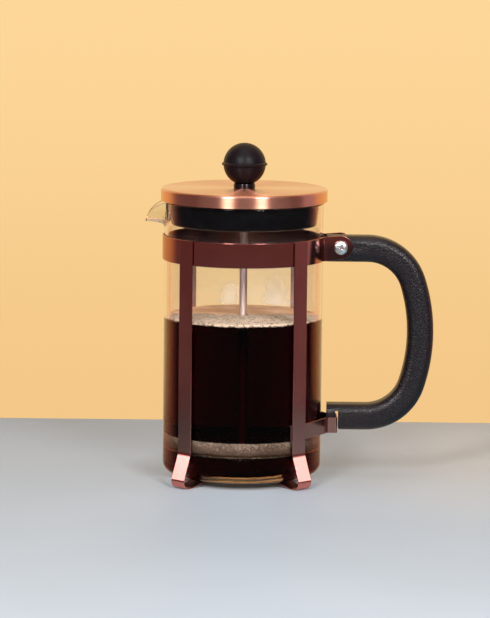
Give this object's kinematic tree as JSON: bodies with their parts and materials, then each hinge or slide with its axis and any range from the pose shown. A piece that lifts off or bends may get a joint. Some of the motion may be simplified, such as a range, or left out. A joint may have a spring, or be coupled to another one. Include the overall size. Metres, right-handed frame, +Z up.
{
  "type": "french press",
  "caption": "French press: glass beaker with a pouring spout in a bent copper-coloured strip stand with a bowed handle, metal lid, and a plunger with a sprung mesh filter.",
  "frame": {"origin": "on the beaker's axis, at the floor that the feet stand on", "axes": "+Z up along the beaker's axis, +X towards the handle, -X towards the spout"},
  "size_m": [0.1818, 0.1046, 0.213],
  "materials": {
    "glass": "clear",
    "copper_strip": "antique copper plating, satin",
    "copper_lid": "copper plating, brushed",
    "grained_black": "fine grain",
    "gloss_black": "gloss",
    "bright_screw": "bright",
    "steel": "bright",
    "mesh": "woven wire",
    "brass_insert": "plain"
  },
  "bodies": {
    "stand": {"top_band": "copper_strip", "leg_strip_upper": "copper_strip", "leg_strip_lower": "copper_strip", "handle_strap": "copper_strip", "handle": "grained_black", "handle_screw": "bright_screw", "handle_nut": "bright_screw"},
    "beaker": {"glass_beaker": "glass"},
    "lid": {"lid_cover": "copper_lid", "lid_insert": "gloss_black", "lid_collar": "gloss_black"},
    "plunger": {"knob": "grained_black", "knob_insert": "brass_insert", "plunger_rod": "steel", "rod_collar": "steel", "spring_plate": "steel", "edge_spring": "steel", "mesh_screen": "mesh", "cross_plate": "steel", "hub_nut": "steel"}
  },
  "joints": [
    {"name": "beaker_lift", "type": "slide", "parent": "stand", "child": "beaker", "axis": [0, 0, 1], "range_m": [0, 0.18]},
    {"name": "lid_lift", "type": "slide", "parent": "beaker", "child": "lid", "axis": [0, 0, 1], "range_m": [0, 0.17]},
    {"name": "plunger_slide", "type": "slide", "parent": "lid", "child": "plunger", "axis": [0, 0, 1], "range_m": [0, 0.131]}
  ]
}
